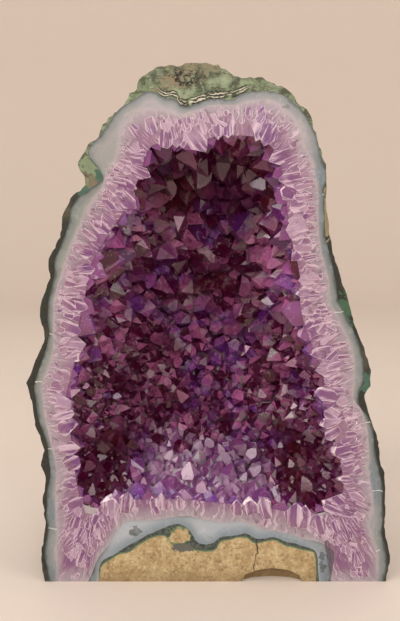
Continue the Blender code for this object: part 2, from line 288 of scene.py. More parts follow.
inside_shares = [1 - 0.995 * step / RIND_INSIDE_RINGS for step in range(RIND_INSIDE_RINGS)]
rings = [rind_ring(hidden_rim, share, False) for share in inside_shares]
rings += [hidden_rim, stepped_rim]
marks = [-1.0] * len(rings)
for row in range(RIND_FACE_ROWS + 1):
    rings.append([inner.lerp(outer, row / RIND_FACE_ROWS) for inner, outer in zip(seam_rim, skin_rim)])
    marks.append(row / RIND_FACE_ROWS)
for step in range(1, RIND_RINGS + 1):
    rings.append(rind_ring(skin_rim, (step / RIND_RINGS) ** 1.15 * POLE_SHARE, True))
    marks.append(2.0)
rind_bm = rolled(rings, marks)

layer = rind_bm.verts.layers.float["layer"]
column = rind_bm.verts.layers.int["column"]
seam_gap = rind_bm.verts.layers.float.new("seam_gap")
skin = [vert for vert in rind_bm.verts if vert[layer] > 1.5]
for _ in range(RIND_SMOOTHING):
    bmesh.ops.smooth_vert(rind_bm, verts=skin, factor=0.5, use_axis_x=True, use_axis_y=True, use_axis_z=True)
rind_bm.normal_update()
for vert in rind_bm.verts:
    crest = fade(vert.co.z, *CREST_FROM)
    height = sum(rise * noise.noise(vert.co / size) for size, rise in SKIN_LUMPS)
    height *= 1 + (CREST_LUMPS - 1) * crest
    vert[seam_gap] = 1.0
    if vert[layer] > 1.5:
        vert.co += vert.normal * height * fade(vert.co.y, FACE_Y, FACE_Y + 0.005) * fade(vert.co.z, 0, 0.004)
    elif vert[layer] >= 0:
        vert[seam_gap] = (seam_rim[vert[column]] - skin_rim[vert[column]]).length * vert[layer]
        if 0.01 < vert[layer] < 0.99 and vert.co.y < FACE_Y + WELD:
            vert.co.y += abs(noise.noise(vert.co / CREST_PITS[0])) * CREST_PITS[1] * crest
rind_mesh = bpy.data.meshes.new("basalt_rind_skin")
rind_bm.to_mesh(rind_mesh)
rind_bm.free()
rind_mesh.shade_smooth()
rind_mesh.set_sharp_from_angle(angle=math.radians(40))
rind = placed("basalt_rind_skin", rind_mesh)


def tone(red, green, blue):
    """A colour as a painter would mix it for the screen, 0 to 255, turned linear."""
    return tuple((part / 255 / 12.92 if part < 11 else ((part / 255 + 0.055) / 1.055) ** 2.4)
                 for part in (red, green, blue)) + (1.0,)


def feed(node, inputs):
    """Each named input of a shader node, linked to a socket or set to a value."""
    tree = node.id_data
    for key, value in inputs.items():
        if isinstance(value, bpy.types.NodeSocket):
            tree.links.new(value, node.inputs[key])
        else:
            node.inputs[key].default_value = value


def wire(tree, kind, inputs=None, **settings):
    """A shader node with its settings made and its inputs fed."""
    node = tree.nodes.new(kind)
    for key, value in settings.items():
        setattr(node, key, value)
    feed(node, inputs or {})
    return node


# The helpers below add their nodes to the node tree of the sockets or the shader given to them.
def grain(place, scale, detail=4.0, rough=0.55, warp=0.0):
    """Cloudy noise, 0 to 1."""
    settings = {"Vector": place, "Scale": scale, "Detail": detail, "Roughness": rough, "Distortion": warp}
    return wire(place.id_data, "ShaderNodeTexNoise", settings).outputs["Fac"]


def past(value, start, end, most=1.0, least=0.0):
    """A soft step: `least` up to where the value is at start, `most` from where it is at end."""
    settings = {"Value": value, "From Min": start, "From Max": end, "To Min": least, "To Max": most}
    step = wire(value.id_data, "ShaderNodeMapRange", settings, interpolation_type="SMOOTHSTEP")
    return step.outputs["Result"]


def spread(cloud, low, high):
    """A cloudy noise, which stays mostly within 0.3 and 0.7, spread from low to high."""
    return past(cloud, 0.3, 0.7, high, low)


def maths(operation, *values):
    tree = next(value.id_data for value in values if isinstance(value, bpy.types.NodeSocket))
    return wire(tree, "ShaderNodeMath", dict(enumerate(values)), operation=operation).outputs[0]


def plus(one, other):
    return maths("ADD", one, other)


def times(first, *others):
    for other in others:
        first = maths("MULTIPLY", first, other)
    return first


def gap_of(one, other):
    """How far apart two values are."""
    return maths("ABSOLUTE", maths("SUBTRACT", one, other))


def coats(colour, *layers):
    """Colours laid over one another from the bottom up, each given as its share and its colour."""
    for share, over in layers:
        mix = wire(share.id_data, "ShaderNodeMix", {0: share, 6: colour, 7: over}, data_type="RGBA")
        colour = mix.outputs[2]
    return colour


def axis(vector, name):
    return wire(vector.id_data, "ShaderNodeSeparateXYZ", {0: vector}).outputs[name]


def vector_maths(operation, *values):
    node = wire(values[0].id_data, "ShaderNodeVectorMath", dict(enumerate(values)), operation=operation)
    return node.outputs


def shared_effect(name, inputs):
    """A node group for an effect of several materials, and the sockets that run into and out of it."""
    group = bpy.data.node_groups.new(name, "ShaderNodeTree")
    for label, kind in inputs.items():
        group.interface.new_socket(label, in_out="INPUT", socket_type=f"NodeSocket{kind}")
    group.interface.new_socket("Mask", in_out="OUTPUT", socket_type="NodeSocketFloat")
    mask = group.nodes.new("NodeGroupOutput").inputs["Mask"]
    return group, group.nodes.new("NodeGroupInput").outputs, mask


patch_effect, given, mask = shared_effect("ragged_patch", {
    "Place": "Vector", "Middle": "Vector", "Half Size": "Vector", "Raggedness": "Float", "Scale": "Float"})
place_mm = vector_maths("MULTIPLY", given["Place"], (1000, 0, 1000))[0]
from_middle = vector_maths("SUBTRACT", place_mm, given["Middle"])[0]
in_halves = vector_maths("DIVIDE", from_middle, given["Half Size"])[0]
away = vector_maths("LENGTH", in_halves)["Value"]
wobble = past(grain(given["Place"], given["Scale"], 3), 0.25, 0.75, 1.0, -1.0)
away = plus(away, times(wobble, given["Raggedness"]))
patch_effect.links.new(past(away, 1.15, 0.85), mask)


def spot(place, x, z, wide, tall, ragged=0.5, scale=260):
    """A ragged patch of the sawn face, 1 inside, with its middle and half sizes in mm."""
    return wire(place.id_data, "ShaderNodeGroup", {
        "Place": place, "Middle": (x, 0, z), "Half Size": (wide, 1, tall),
        "Raggedness": ragged, "Scale": scale}, node_tree=patch_effect).outputs["Mask"]


def new_finish(name):
    """A material, its node tree, its shader, and the place on the piece in metres."""
    material = bpy.data.materials.new(name)
    material.use_nodes = True
    tree = material.node_tree
    return material, tree, tree.nodes["Principled BSDF"], wire(tree, "ShaderNodeTexCoord").outputs["Object"]


def relief(shader, height, strength, distance):
    settings = {"Height": height, "Strength": strength, "Distance": distance}
    bump = wire(shader.id_data, "ShaderNodeBump", settings)
    feed(shader, {"Normal": bump.outputs["Normal"]})


BASALT = tone(66, 64, 50)
BASALT_PALE = tone(108, 103, 84)
BASALT_DARK = tone(26, 28, 23)
RUST = tone(108, 88, 62)
CELADONITE = tone(112, 126, 98)
CELADONITE_PALE = tone(146, 160, 132)
CELADONITE_DEEP = tone(62, 68, 50)
CELADONITE_TEAL = tone(60, 90, 76)
CREST_BROWN = tone(128, 112, 92)
LINE_WHITE = tone(190, 184, 166)
RIND_STAINS = (             # near the sawn face: middle, half sizes in mm, colour
    (-76, 276, 8, 9, CELADONITE), (-82, 258, 5, 3.4, CELADONITE_TEAL), (-70, 268, 4, 5, CELADONITE_TEAL),
    (88, 183, 6, 10, tone(54, 86, 62)), (102, 134, 3.5, 7, CELADONITE_TEAL),
    (74.5, 246, 4, 14, tone(126, 116, 84)),
)
CREST_LINES = (             # the banding under the crest: distance from the agate, half width, colour
    (0.0026, 0.0026, CELADONITE_DEEP), (0.0012, 0.0006, BASALT_DARK), (0.0021, 0.0005, LINE_WHITE),
    (0.0029, 0.0005, BASALT_DARK), (0.0037, 0.0004, LINE_WHITE), (0.0046, 0.0006, BASALT_DARK),
)

weathered, tree, shader, place = new_finish("weathered_rind")
height = axis(place, "Z")
broad = grain(place, 22, 5)
fine = grain(place, 140, 6, 0.65)
specks = grain(place, 420, 3, 0.7)
basalt = coats(
    BASALT_DARK,
    (past(fine, 0.36, 0.66), BASALT),
    (past(broad, 0.52, 0.66), BASALT_PALE),
    (past(grain(place, 37, 5, 0.6, 0.6), 0.56, 0.74, 0.7), RUST),
)
flow = wire(tree, "ShaderNodeMapping", {"Vector": place, "Scale": (0.35, 0.5, 1.3)}).outputs[0]
cracks = gap_of(grain(flow, 120, 4, 0.6, 0.8), 0.5)
ragged_height = plus(height, spread(fine, -0.006, 0.006))
brown_spot = times(spot(place, -24.7, 327, 9, 5, 0.9), past(fine, 0.38, 0.56), 0.8)
dark_spot = times(spot(place, -15.2, 331, 9, 6), past(specks, 0.46, 0.56))
green = coats(
    CELADONITE_DEEP,
    (past(fine, 0.40, 0.58), CELADONITE),
    (past(grain(place, 62, 5), 0.46, 0.66, 0.9), CELADONITE_PALE),
    (past(grain(place, 48, 5, 0.6, 0.8), 0.58, 0.70, 0.7), CREST_BROWN),
    (past(grain(flow, 210, 5, 0.7, 0.5), 0.56, 0.66, 0.8), CELADONITE_DEEP),
    (past(grain(flow, 150, 5, 0.7, 0.9), 0.60, 0.68, 0.7), CREST_BROWN),
    (past(cracks, 0.022, 0.006, 0.8), BASALT),
    (past(specks, 0.44, 0.34, 0.6), CELADONITE_PALE),
    (past(ragged_height, 0.331, 0.340, 0.6), CREST_BROWN),
    (brown_spot, CREST_BROWN),
    (dark_spot, BASALT_DARK),
)
greener = plus(past(height, 0.255, 0.325), times(broad, 0.8))
behind_face = plus(axis(place, "Y"), spread(grain(place, 90, 4), -0.008, 0.008))
near_face = past(behind_face, FACE_Y + 0.022, FACE_Y + 0.012)
thin_edge = times(near_face, past(height, 0.255, 0.225), 0.7)
colour = coats(basalt, (past(greener, 0.66, 0.86), green), (thin_edge, BASALT_DARK))
for x, z, wide, tall, stain in RIND_STAINS:
    stained = times(spot(place, x, z, wide, tall, 0.7), near_face)
    colour = coats(colour, (stained, stain))
colour = coats(colour, (past(specks, 0.60, 0.72, 0.75), BASALT_DARK))
gap = wire(tree, "ShaderNodeAttribute", attribute_name="seam_gap").outputs["Fac"]
gap = plus(gap, spread(grain(place, 90, 4), -0.0014, 0.0014))
under_crest = past(gap_of(axis(place, "X"), -0.005), 0.031, 0.025)
on_crest = times(past(height, 0.303, 0.309), under_crest)
for middle, half, ink in CREST_LINES:
    line = past(gap_of(gap, middle), half, half * 0.4)
    broken = past(grain(place, 170 + middle * 9000, 3), 0.36, 0.50)
    colour = coats(colour, (times(line, broken, on_crest), ink))
feed(shader, {"Base Color": colour, "Roughness": spread(fine, 0.62, 0.95)})
relief(shader, plus(fine, times(specks, 0.5)), 0.9, 0.0014)

rind_mesh.materials.append(weathered)
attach(rind, "root")
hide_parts("basalt_rind")


# Agate lining. The grey banded chalcedony that grew first on the inside of the rind, and over the
# host rock at the foot. Its sawn face is polished; it is grown fast to the rind and to the quartz.
SLAB = 0.0012               # thickness of the polished plate that carries the bands of each layer
BAND_COLUMN = 0.003
SAW_WIDE, SAW_THICK, SAW_MIDDLE = 0.6, 0.1, 0.2     # the block that takes the sawn face off the solids
FACE_MAPS = ("band", "edges", "kind")
AGATE_EDGE = (              # the lining's border with the quartz, x and z in mm, left to right
    (-103, 0), (-103, 15), (-102, 36), (-103, 56), (-102, 77), (-106, 97), (-109, 110), (-111, 134),
    (-104, 150), (-103, 163), (-102, 190), (-94, 216), (-83, 241), (-71, 260), (-66, 273),
    (-59, 284), (-57, 298), (-48, 309), (-34, 311), (-25, 309), (-19, 307), (-13, 310), (-6, 311),
    (-1, 314), (13, 313), (19, 314), (27, 317), (39, 316), (46, 310), (54, 304), (58, 292),
    (64, 279), (68, 266), (69, 254), (69, 241), (70, 228), (72, 216), (77, 202), (76, 190),
    (83, 176), (90, 163), (94, 150), (94, 137), (93, 124), (100, 117), (103, 104), (105, 90),
    (104, 77), (107, 63), (107, 49), (105, 36), (111, 22), (112, 0),
)
ARCH_TOP = (                # the quartz's border with the arch over the host rock
    (-82, 0), (-76, 15), (-68, 25), (-65, 32), (-56, 42), (-40, 42), (-28, 44), (-15, 46), (-4, 42),
    (10, 41), (20, 42), (34, 36), (48, 34), (61, 30), (74, 27), (83, 21), (83, 14), (80, 0),
)
ROCK_TOP = (                # the arch's border with the host rock
    (-75.5, 0), (-74.5, 11), (-72, 15), (-66, 17.5), (-61, 21.5), (-54, 25), (-47.5, 29),
    (-41.5, 33), (-34, 35.5), (-27.5, 39), (-22, 40.5), (-17, 38.5), (-12.5, 34.5), (-11, 30.5),
    (-9.5, 26.5), (-5, 25.5), (0, 25.5), (3.5, 28), (6.5, 31.5), (14, 31.5), (19.5, 32), (23, 34.5),
    (27, 31.5), (31, 29), (37.5, 30.5), (43.5, 30.5), (50, 27.5), (57.5, 26), (67, 23.5), (71, 21),
    (73, 0),
)


def as_tool(name, bm, maps=()):
    """A helper shape that only takes part in building another piece."""
    mesh = bpy.data.meshes.new(name)
    bm.to_mesh(mesh)
    bm.free()
    for map_name in maps:
        mesh.uv_layers.new(name=map_name)
    return placed(name, mesh)


def polished_plate(name, lines, rows):
    """A thin plate of the sawn face, which runs from line to line in the given numbers of rows.

    The map `band` holds the length along the first line in metres and the number of lines crossed,
    `edges` the distances to the last and the next line in metres, `kind` the number of lines passed.
    """
    closed = (lines[0][0] - lines[0][-1]).length < WELD
    if closed:
        lines = [line[:-1] for line in lines]
    near = lines[0]
    last_span = len(rows) - 1
    marks = [span + row / count for span, count in enumerate(rows) for row in range(count)] + [len(rows)]
    steps = []
    for mark in marks:
        span = min(int(mark), last_span)
        steps.append([one.lerp(other, mark - span) for one, other in zip(lines[span], lines[span + 1])])
    bm = swept(steps, marks, closed)[0]
    column = bm.verts.layers.int["column"]
    across = bm.verts.layers.float["layer"]
    behind = bmesh.ops.extrude_face_region(bm, geom=bm.faces[:], use_keep_orig=True)["geom"]
    moved = [item for item in behind if isinstance(item, bmesh.types.BMVert)]
    bmesh.ops.translate(bm, verts=moved, vec=(0, SLAB, 0))
    bmesh.ops.recalc_face_normals(bm, faces=bm.faces)
    run = np.concatenate([[0], np.cumsum([(a - b).length for a, b in zip(near, near[1:] + near[:1])])])
    band_map, edge_map, kind_map = (bm.loops.layers.uv.new(map_name) for map_name in FACE_MAPS)
    for face in bm.faces:
        places = [vert[column] for vert in face.verts]
        wraps = max(places) - min(places) > 2
        span = min(int(min(vert[across] for vert in face.verts) + 0.001), last_span)
        for corner in face.loops:
            index, share = corner.vert[column], corner.vert[across] - span
            reach = run[len(near)] if wraps and index == 0 else run[index]
            width = (lines[span][index] - lines[span + 1][index]).length
            corner[band_map].uv = (reach, span + share)
            corner[edge_map].uv = (width * share, width * (1 - share))
            corner[kind_map].uv = (span, 0)
    return as_tool(name, bm)


def trim(item, operation, tool):
    step = item.modifiers.new(operation.lower(), "BOOLEAN")
    step.operation = operation
    step.solver = "MANIFOLD"
    if isinstance(tool, bpy.types.Collection):
        step.operand_type = "COLLECTION"
        step.collection = tool
    else:
        step.object = tool


def settle(name, item, tools):
    """The item's evaluated mesh as a piece of its own; the helper shapes go."""
    graph = bpy.context.evaluated_depsgraph_get()
    mesh = bpy.data.meshes.new_from_object(item.evaluated_get(graph))
    mesh.name = name
    mesh.materials.clear()
    piece = placed(name, mesh)
    for helper in (item, *tools):
        bpy.data.objects.remove(helper)
    return piece


bm = bmesh.new()
bmesh.ops.create_cube(bm, size=1)
bmesh.ops.scale(bm, verts=bm.verts, vec=(SAW_WIDE, SAW_THICK, SAW_WIDE))
bmesh.ops.translate(bm, verts=bm.verts, vec=(0, FACE_Y + BEHIND_FACE - SAW_THICK / 2, SAW_MIDDLE))
face_saw = as_tool("face_saw", bm)

quartz_seam, arch_seam, rock_seam = (grown_border(points) for points in (AGATE_EDGE, ARCH_TOP, ROCK_TOP))
lining_near = evenly(rind_seam, BAND_COLUMN)
lining_band = polished_plate("lining_band", [lining_near, facing(lining_near, quartz_seam, 20)], [5])
arch_near = evenly(arch_seam, BAND_COLUMN)
arch_band = polished_plate("arch_band", [arch_near, facing(arch_near, rock_seam, 20)], [4])
agate_body = as_tool("agate_body", merged_copy("agate_band"), FACE_MAPS)
trim(agate_body, "DIFFERENCE", face_saw)
trim(agate_body, "UNION", lining_band)
trim(agate_body, "UNION", arch_band)
agate = settle("agate_lining", agate_body, (lining_band, arch_band))

AGATE = tone(138, 140, 140)
AGATE_BLUE = tone(104, 118, 128)
AGATE_GREEN = tone(134, 138, 126)
AGATE_LILAC = tone(160, 149, 153)
AGATE_OUTER = tone(104, 112, 112)
AGATE_DARK = tone(62, 70, 68)
ARCH_PALE = tone(166, 172, 180)
ARCH_BLUE = tone(112, 126, 134)
HAIRLINE = tone(225, 222, 216)
AGATE_BLOTCHES = ((-50.3, 35.2, 4, 3), (74.6, 17, 2.2, 2.8), (75.5, 10, 2.4, 3.2), (48, 312.5, 2.4, 1.2))
HAIRLINES = (               # fine pale cracks across the lining: x, z, half length in mm, slope
    (76, 258, 5, 0.1), (84, 182, 6, 0.25), (102, 108, 6, 0.1), (110, 62.5, 6, -0.1), (100, 20.5, 14, 0.05),
    (-104, 167, 5, -0.2), (-113, 136, 6, 0.1), (-106, 91, 5, 0.15), (-106, 37, 5, -0.1),
)


def on_map(tree, map_name, part):
    """One part, X or Y, of what a map of the piece holds."""
    return axis(wire(tree, "ShaderNodeUVMap", uv_map=map_name).outputs[0], part)


def joined(x, y, z=0.0):
    return wire(x.id_data, "ShaderNodeCombineXYZ", {0: x, 1: y, 2: z}).outputs[0]


def cloudy(shader, share, reach):
    """Lets light sink into the stone: its share, and how far it goes in red, green and blue."""
    shader.inputs["Subsurface Weight"].default_value = share
    shader.inputs["Subsurface Radius"].default_value = reach
    shader.inputs["Subsurface Scale"].default_value = 1.0


agate_finish, tree, shader, place = new_finish("grey_agate")
cloud = grain(place, 30, 4)
haze = grain(place, 110, 3)
from_rind = plus(on_map(tree, "edges", "X"), spread(haze, -0.0007, 0.0007))
from_quartz = plus(on_map(tree, "edges", "Y"), spread(haze, -0.0012, 0.0012))
height, aside = axis(place, "Z"), axis(place, "X")
greenish = times(past(aside, -0.02, -0.08), past(height, 0.10, 0.16), 0.7)
banded = joined(times(on_map(tree, "band", "X"), 12.0), times(from_rind, 900.0))
inner = times(past(gap_of(aside, 0.0), 0.080, 0.060), past(height, 0.050, 0.040))
foot_shade = times(inner, past(on_map(tree, "edges", "Y"), 0.009, 0.0005, 0.85))
colour = coats(
    AGATE,
    (past(cloud, 0.38, 0.62), AGATE_BLUE),
    (greenish, AGATE_GREEN),
    (past(height, 0.26, 0.30, 0.45), AGATE_LILAC),
    (past(grain(banded, 1.0, 2.0, 0.5), 0.50, 0.68, 0.30), AGATE_LILAC),
    (past(from_quartz, 0.0026, -0.0004, 0.9), AGATE_LILAC),
    (past(from_rind, 0.0070, 0.0010, 0.75), AGATE_OUTER),
    (past(from_rind, 0.0020, 0.0, 0.85), AGATE_DARK),
    (times(inner, 0.75), ARCH_PALE),
    (foot_shade, ARCH_BLUE),
)
for x, z, wide, tall in AGATE_BLOTCHES:
    blotch = times(spot(place, x, z, wide, tall, 0.6), past(haze, 0.35, 0.6, 0.8, 0.45))
    colour = coats(colour, (blotch, AGATE_DARK))
for x, z, half, slope in HAIRLINES:
    from_middle = plus(aside, -x * MM)
    level = plus(height, times(from_middle, -slope))
    off_line = gap_of(level, spread(haze, z * MM + 0.0008, z * MM - 0.0008))
    within = past(gap_of(from_middle, 0.0), half * MM, half * MM - 0.001)
    hair = times(past(off_line, 0.00045, 0.0001), within, 0.55)
    colour = coats(colour, (hair, HAIRLINE))
feed(shader, {"Base Color": colour, "Roughness": spread(haze, 0.14, 0.30)})
cloudy(shader, 0.15, (0.004, 0.004, 0.004))
relief(shader, haze, 0.08, 0.0004)

agate.data.materials.append(agate_finish)
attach(agate, "root")
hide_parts("agate_band")


# Quartz roots. The pale fibrous quartz that grew on the agate, whose fibres widen into the amethyst
# points. Sawn and polished on the face; the points are the same growth.
HOLLOW_EDGE = (             # the tips round the mouth of the hollow, x and z in mm
    (-82, 56), (-87, 76), (-88, 97), (-93, 120), (-87, 140), (-83, 158), (-82, 174),
    (-76, 193), (-75, 211), (-64, 227), (-54, 240), (-46, 254), (-40, 270), (-38, 284),
    (-30, 287), (-19, 281), (-6, 286), (9, 291), (24, 289), (35, 286), (41, 274),
    (43, 258), (45, 240), (48, 225), (54, 207), (53, 190), (55, 172), (62, 156),
    (69, 140), (71, 124), (73, 106), (79, 88), (85, 70), (82, 56), (58, 51),
    (30, 55), (0, 58), (-30, 60), (-58, 60),
)
HOLLOW_POLE = (-0.006, 0.166)
HOLLOW_DEPTH = 0.110
HOLLOW_BULGE = 0.84
ROOTS_BEHIND = 0.0085       # how far the wall of roots lies outside the tips deep inside
MOUTH_BEHIND = 0.0062       # and at the face
WALL_COLUMN = 0.005
WALL_RINGS = 26
WALL_LUMPS = (0.045, 0.004)         # their length and height
FRONT_ROOM = 0.03           # how far the hollow's shape runs out in front of the face
COLLAR = (                  # its corners: how far outside the tips, how far behind the face
    (0.002, 0.0030), (0.0105, 0.0030), (0.0105, 0.014), (0.002, 0.014),
)
ROOT_BAND = 0.80            # share of the band that the plate of roots covers, from the agate inwards

mouth = evenly(face_line(HOLLOW_EDGE + HOLLOW_EDGE[:1]), WALL_COLUMN)[:-1]
hollow_rim = calmed(mouth, 3, closed=True)


def outward(rim, index):
    """The direction away from the hollow at a place of its rim, in the plane of the face."""
    along = rim[(index + 2) % len(rim)] - rim[index - 2]
    return Vector((-along.z, 0, along.x)).normalized()


def wall_ring(angle, extra):
    """A ring of the hollow's wall, at an angle from the sawn face to the rearmost place."""
    centre = Vector((HOLLOW_POLE[0], FACE_Y, HOLLOW_POLE[1]))
    inside = HOLLOW_DEPTH * math.sin(angle) ** HOLLOW_BULGE
    behind = extra + MOUTH_BEHIND + (ROOTS_BEHIND - MOUTH_BEHIND) * fade(inside, 0.001, 0.014)
    ring = []
    for index, place in enumerate(hollow_rim):
        reach = place + outward(hollow_rim, index) * behind - centre
        side = centre + reach * math.cos(angle) ** HOLLOW_BULGE
        side.y = FACE_Y + inside * (1 + behind / HOLLOW_DEPTH)
        lump = noise.noise(side / WALL_LUMPS[0]) * WALL_LUMPS[1] * fade(side.y, FACE_Y + 0.01, FACE_Y + 0.05)
        ring.append(side + (side - centre).normalized() * lump)
    return ring


def wall_shell(name, extra):
    """The hollow as a closed shape that runs out in front of the sawn face."""
    front = [place - Vector((0, FRONT_ROOM, 0)) for place in wall_ring(0, extra)]
    middle = sum(front, Vector()) / len(front)
    shell = [[middle] * len(front), front]
    for step in range(WALL_RINGS + 1):
        shell.append(wall_ring(math.radians(90) * (step / WALL_RINGS) ** 1.5 * POLE_SHARE, extra))
    return as_tool(name, rolled(shell, [0.0] * len(shell)), FACE_MAPS)


def mouth_collar():
    """A ring of quartz close behind the face, so that the roots reach the hollow's edge all round."""
    rings = [[place + outward(hollow_rim, index) * reach + Vector((0, behind, 0))
              for index, place in enumerate(hollow_rim)] for reach, behind in COLLAR + COLLAR[:1]]
    bm = swept(rings, [0.0] * len(rings))[0]
    bmesh.ops.remove_doubles(bm, verts=bm.verts, dist=WELD)
    bmesh.ops.recalc_face_normals(bm, faces=bm.faces)
    return as_tool("mouth_collar", bm, FACE_MAPS)


base_left = evenly([arch_seam[0], quartz_seam[0]], 0.002)
base_right = evenly([quartz_seam[-1], arch_seam[-1]], 0.002)
crust_rim = quartz_seam + base_right[1:-1] + arch_seam[::-1] + base_left[1:]
top = max(range(len(crust_rim)), key=lambda index: crust_rim[index].z)
crust_rim = crust_rim[top:] + crust_rim[:top] + crust_rim[top:top + 1]
crust_near = evenly(crust_rim, BAND_COLUMN)
start = min(range(len(hollow_rim)), key=lambda index: (hollow_rim[index] - crust_near[0]).length)
hollow_loop = hollow_rim[start:] + hollow_rim[:start] + hollow_rim[start:start + 1]
crust_far = [near.lerp(far, ROOT_BAND) for near, far in zip(crust_near, facing(crust_near, hollow_loop, 60))]
root_band = polished_plate("root_band", [crust_near, crust_far], [10])

hollow_roots = wall_shell("hollow_roots", 0.0)
root_body = as_tool("root_body", merged_copy("amethyst_crust"), FACE_MAPS)
collar = mouth_collar()
trim(root_body, "UNION", collar)
trim(root_body, "DIFFERENCE", hollow_roots)
trim(root_body, "DIFFERENCE", face_saw)
trim(root_body, "UNION", root_band)
roots = settle("quartz_roots", root_body, (root_band, collar))

QUARTZ_WHITE = tone(196, 175, 188)
RIM_PALE = tone(222, 206, 214)
QUARTZ_PINK = tone(132, 98, 120)
QUARTZ_LILAC = tone(114, 72, 112)
QUARTZ_PURPLE = tone(106, 62, 112)
QUARTZ_MAUVE = tone(96, 62, 82)
QUARTZ_GREY = tone(144, 132, 141)
WALL_LIGHT = tone(158, 104, 150)
WALL_MID = tone(110, 52, 92)
WALL_DARK = tone(62, 18, 46)
WALL_FLOOR = tone(214, 196, 224)

fibre_effect, given, mask = shared_effect("quartz_fibres", {
    "Place": "Vector", "Grain Size": "Vector", "Detail": "Float"})
drawn = vector_maths("DIVIDE", given["Place"], given["Grain Size"])[0]
fibre_effect.links.new(grain(drawn, 0.5, given["Detail"], 0.65), mask)


def fibres(place, wide, long, detail=3.0):
    """Drawn-out noise, 0 to 1, whose grains are about `wide` and `long` metres in X and Y."""
    return wire(place.id_data, "ShaderNodeGroup", {
        "Place": place, "Grain Size": (wide, long, 1.0), "Detail": detail,
    }, node_tree=fibre_effect).outputs["Mask"]


roots_finish, tree, shader, place = new_finish("fibrous_quartz")
in_from_agate = on_map(tree, "edges", "X")
run = plus(on_map(tree, "band", "X"), spread(grain(place, 60, 3), -0.003, 0.003))
grown = joined(run, in_from_agate)
inward = past(in_from_agate, 0.0015, 0.016)
broad_fibres = past(fibres(grown, 0.004, 0.014), 0.42, 0.60)
ragged_gap = past(fibres(grown, 0.0014, 0.004), 0.35, 0.65, 0.0016, -0.0016)
face = coats(
    QUARTZ_GREY,
    (inward, QUARTZ_PINK),
    (times(inward, broad_fibres), QUARTZ_LILAC),
    (past(fibres(grown, 0.0016, 0.006), 0.54, 0.70, 0.60), QUARTZ_MAUVE),
    (past(fibres(grown, 0.0009, 0.010), 0.52, 0.66, 0.75), QUARTZ_WHITE),
    (past(plus(in_from_agate, ragged_gap), 0.0020, -0.0004), AGATE_LILAC),
)
depth = plus(axis(place, "Y"), -FACE_Y)
patches = grain(place, 48, 2, 0.5)
floorward = times(past(axis(place, "Z"), 0.105, 0.070), past(depth, 0.075, 0.03))
wall = coats(
    WALL_DARK,
    (past(patches, 0.38, 0.58), WALL_MID),
    (past(patches, 0.56, 0.72, 0.7), WALL_LIGHT),
    (times(floorward, past(patches, 0.34, 0.52)), WALL_FLOOR),
)
colour = coats(face, (past(depth, 0.0015, 0.010), wall))
feed(shader, {"Base Color": colour, "Roughness": 0.22})
cloudy(shader, 0.15, (0.004, 0.003, 0.004))

roots.data.materials.append(roots_finish)
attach(roots, "root")
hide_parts("amethyst_crust")


# Sawn crystals. The ranks of crystals round the mouth of the hollow that the saw cut lengthwise:
# flat polished cells with pale rims, their tips pointing into the hollow, each rank lying over the
# next. They are grown into the roots.
SAWN_SEED = 5
PYRAMID_SLOPE = math.radians(51.8)
HABIT_WIDTHS = (0.86, 1.10)
TIP_RISES = ((0.05, 0.42), (0.0, 0.12))     # how far the tip's six faces are set off, turn about
TIP_ROOM = 0.6
SAWN_LEAN, SAWN_DIVE = 16, 9                # degrees
SAWN_DEPTH = (-0.45, 0.62)                  # where the saw passes, as a share of the half width
FOOT_PINCH = 0.5
SAWN_RANKS = (              # tips behind the hollow's edge, stray, half widths, spacing, lengths, height
    (0.0006, 0.0040, 0.0044, 0.0098, 0.0098, 0.016, 0.028, 0.00004),
    (0.0112, 0.0040, 0.0024, 0.0058, 0.0078, 0.011, 0.019, 0.00008),
    (0.0172, 0.0030, 0.0012, 0.0032, 0.0046, 0.008, 0.015, 0.00012),
    (0.0230, 0.0030, 0.0014, 0.0036, 0.0052, 0.009, 0.017, 0.00016),
    (0.0290, 0.0030, 0.0014, 0.0036, 0.0052, 0.009, 0.017, 0.00020),
    (0.0350, 0.0034, 0.0014, 0.0036, 0.0052, 0.009, 0.017, 0.00024),
)
HEIGHT_STRAY = 0.000018
CORNERS = ((-0.110, -0.070), (0.070, 0.112))    # beside the arch, under the hollow's lower corners
CORNER_BASE, CORNER_TOP = 0.004, 0.050
CORNER_TRIES = 90
CORNER_WIDTHS, CORNER_LENGTHS, CORNER_HEIGHT = (0.0022, 0.0060), (0.010, 0.020), 0.00013
RIM_WIDTH = 0.00036
SAWN_MAPS = ("cell", "grown", "reach")


def cut_off(bm, place, normal):
    """What lies beyond a plane goes; gives the edges of the hole that is left."""
    whole = bm.verts[:] + bm.edges[:] + bm.faces[:]
    bmesh.ops.bisect_plane(bm, geom=whole, plane_co=place, plane_no=normal, clear_outer=True)
    return [edge for edge in bm.edges if edge.is_boundary]


def crystal(rng, length):
    """A quartz point of radius 1 with its tip near the origin: a prism cut by six sloping faces."""
    bm = bmesh.new()
    bmesh.ops.create_cone(bm, cap_ends=True, segments=6, radius1=1, radius2=1, depth=length)
    bmesh.ops.translate(bm, verts=bm.verts, vec=(0, 0, TIP_ROOM - length / 2))
    bmesh.ops.scale(bm, verts=bm.verts, vec=(rng.uniform(*HABIT_WIDTHS), rng.uniform(*HABIT_WIDTHS), 1))
    bm.normal_update()
    sides = [face.normal.copy() for face in bm.faces if abs(face.normal.z) < 0.5]
    sides.sort(key=lambda side: math.atan2(side.y, side.x))
    for number, side in enumerate(sides):
        rise = rng.uniform(*TIP_RISES[number % 2])
        normal = side * math.sin(PYRAMID_SLOPE) + Vector((0, 0, math.cos(PYRAMID_SLOPE)))
        bmesh.ops.holes_fill(bm, edges=cut_off(bm, (0, 0, rise), normal), sides=0)
    bmesh.ops.recalc_face_normals(bm, faces=bm.faces)
    return bm


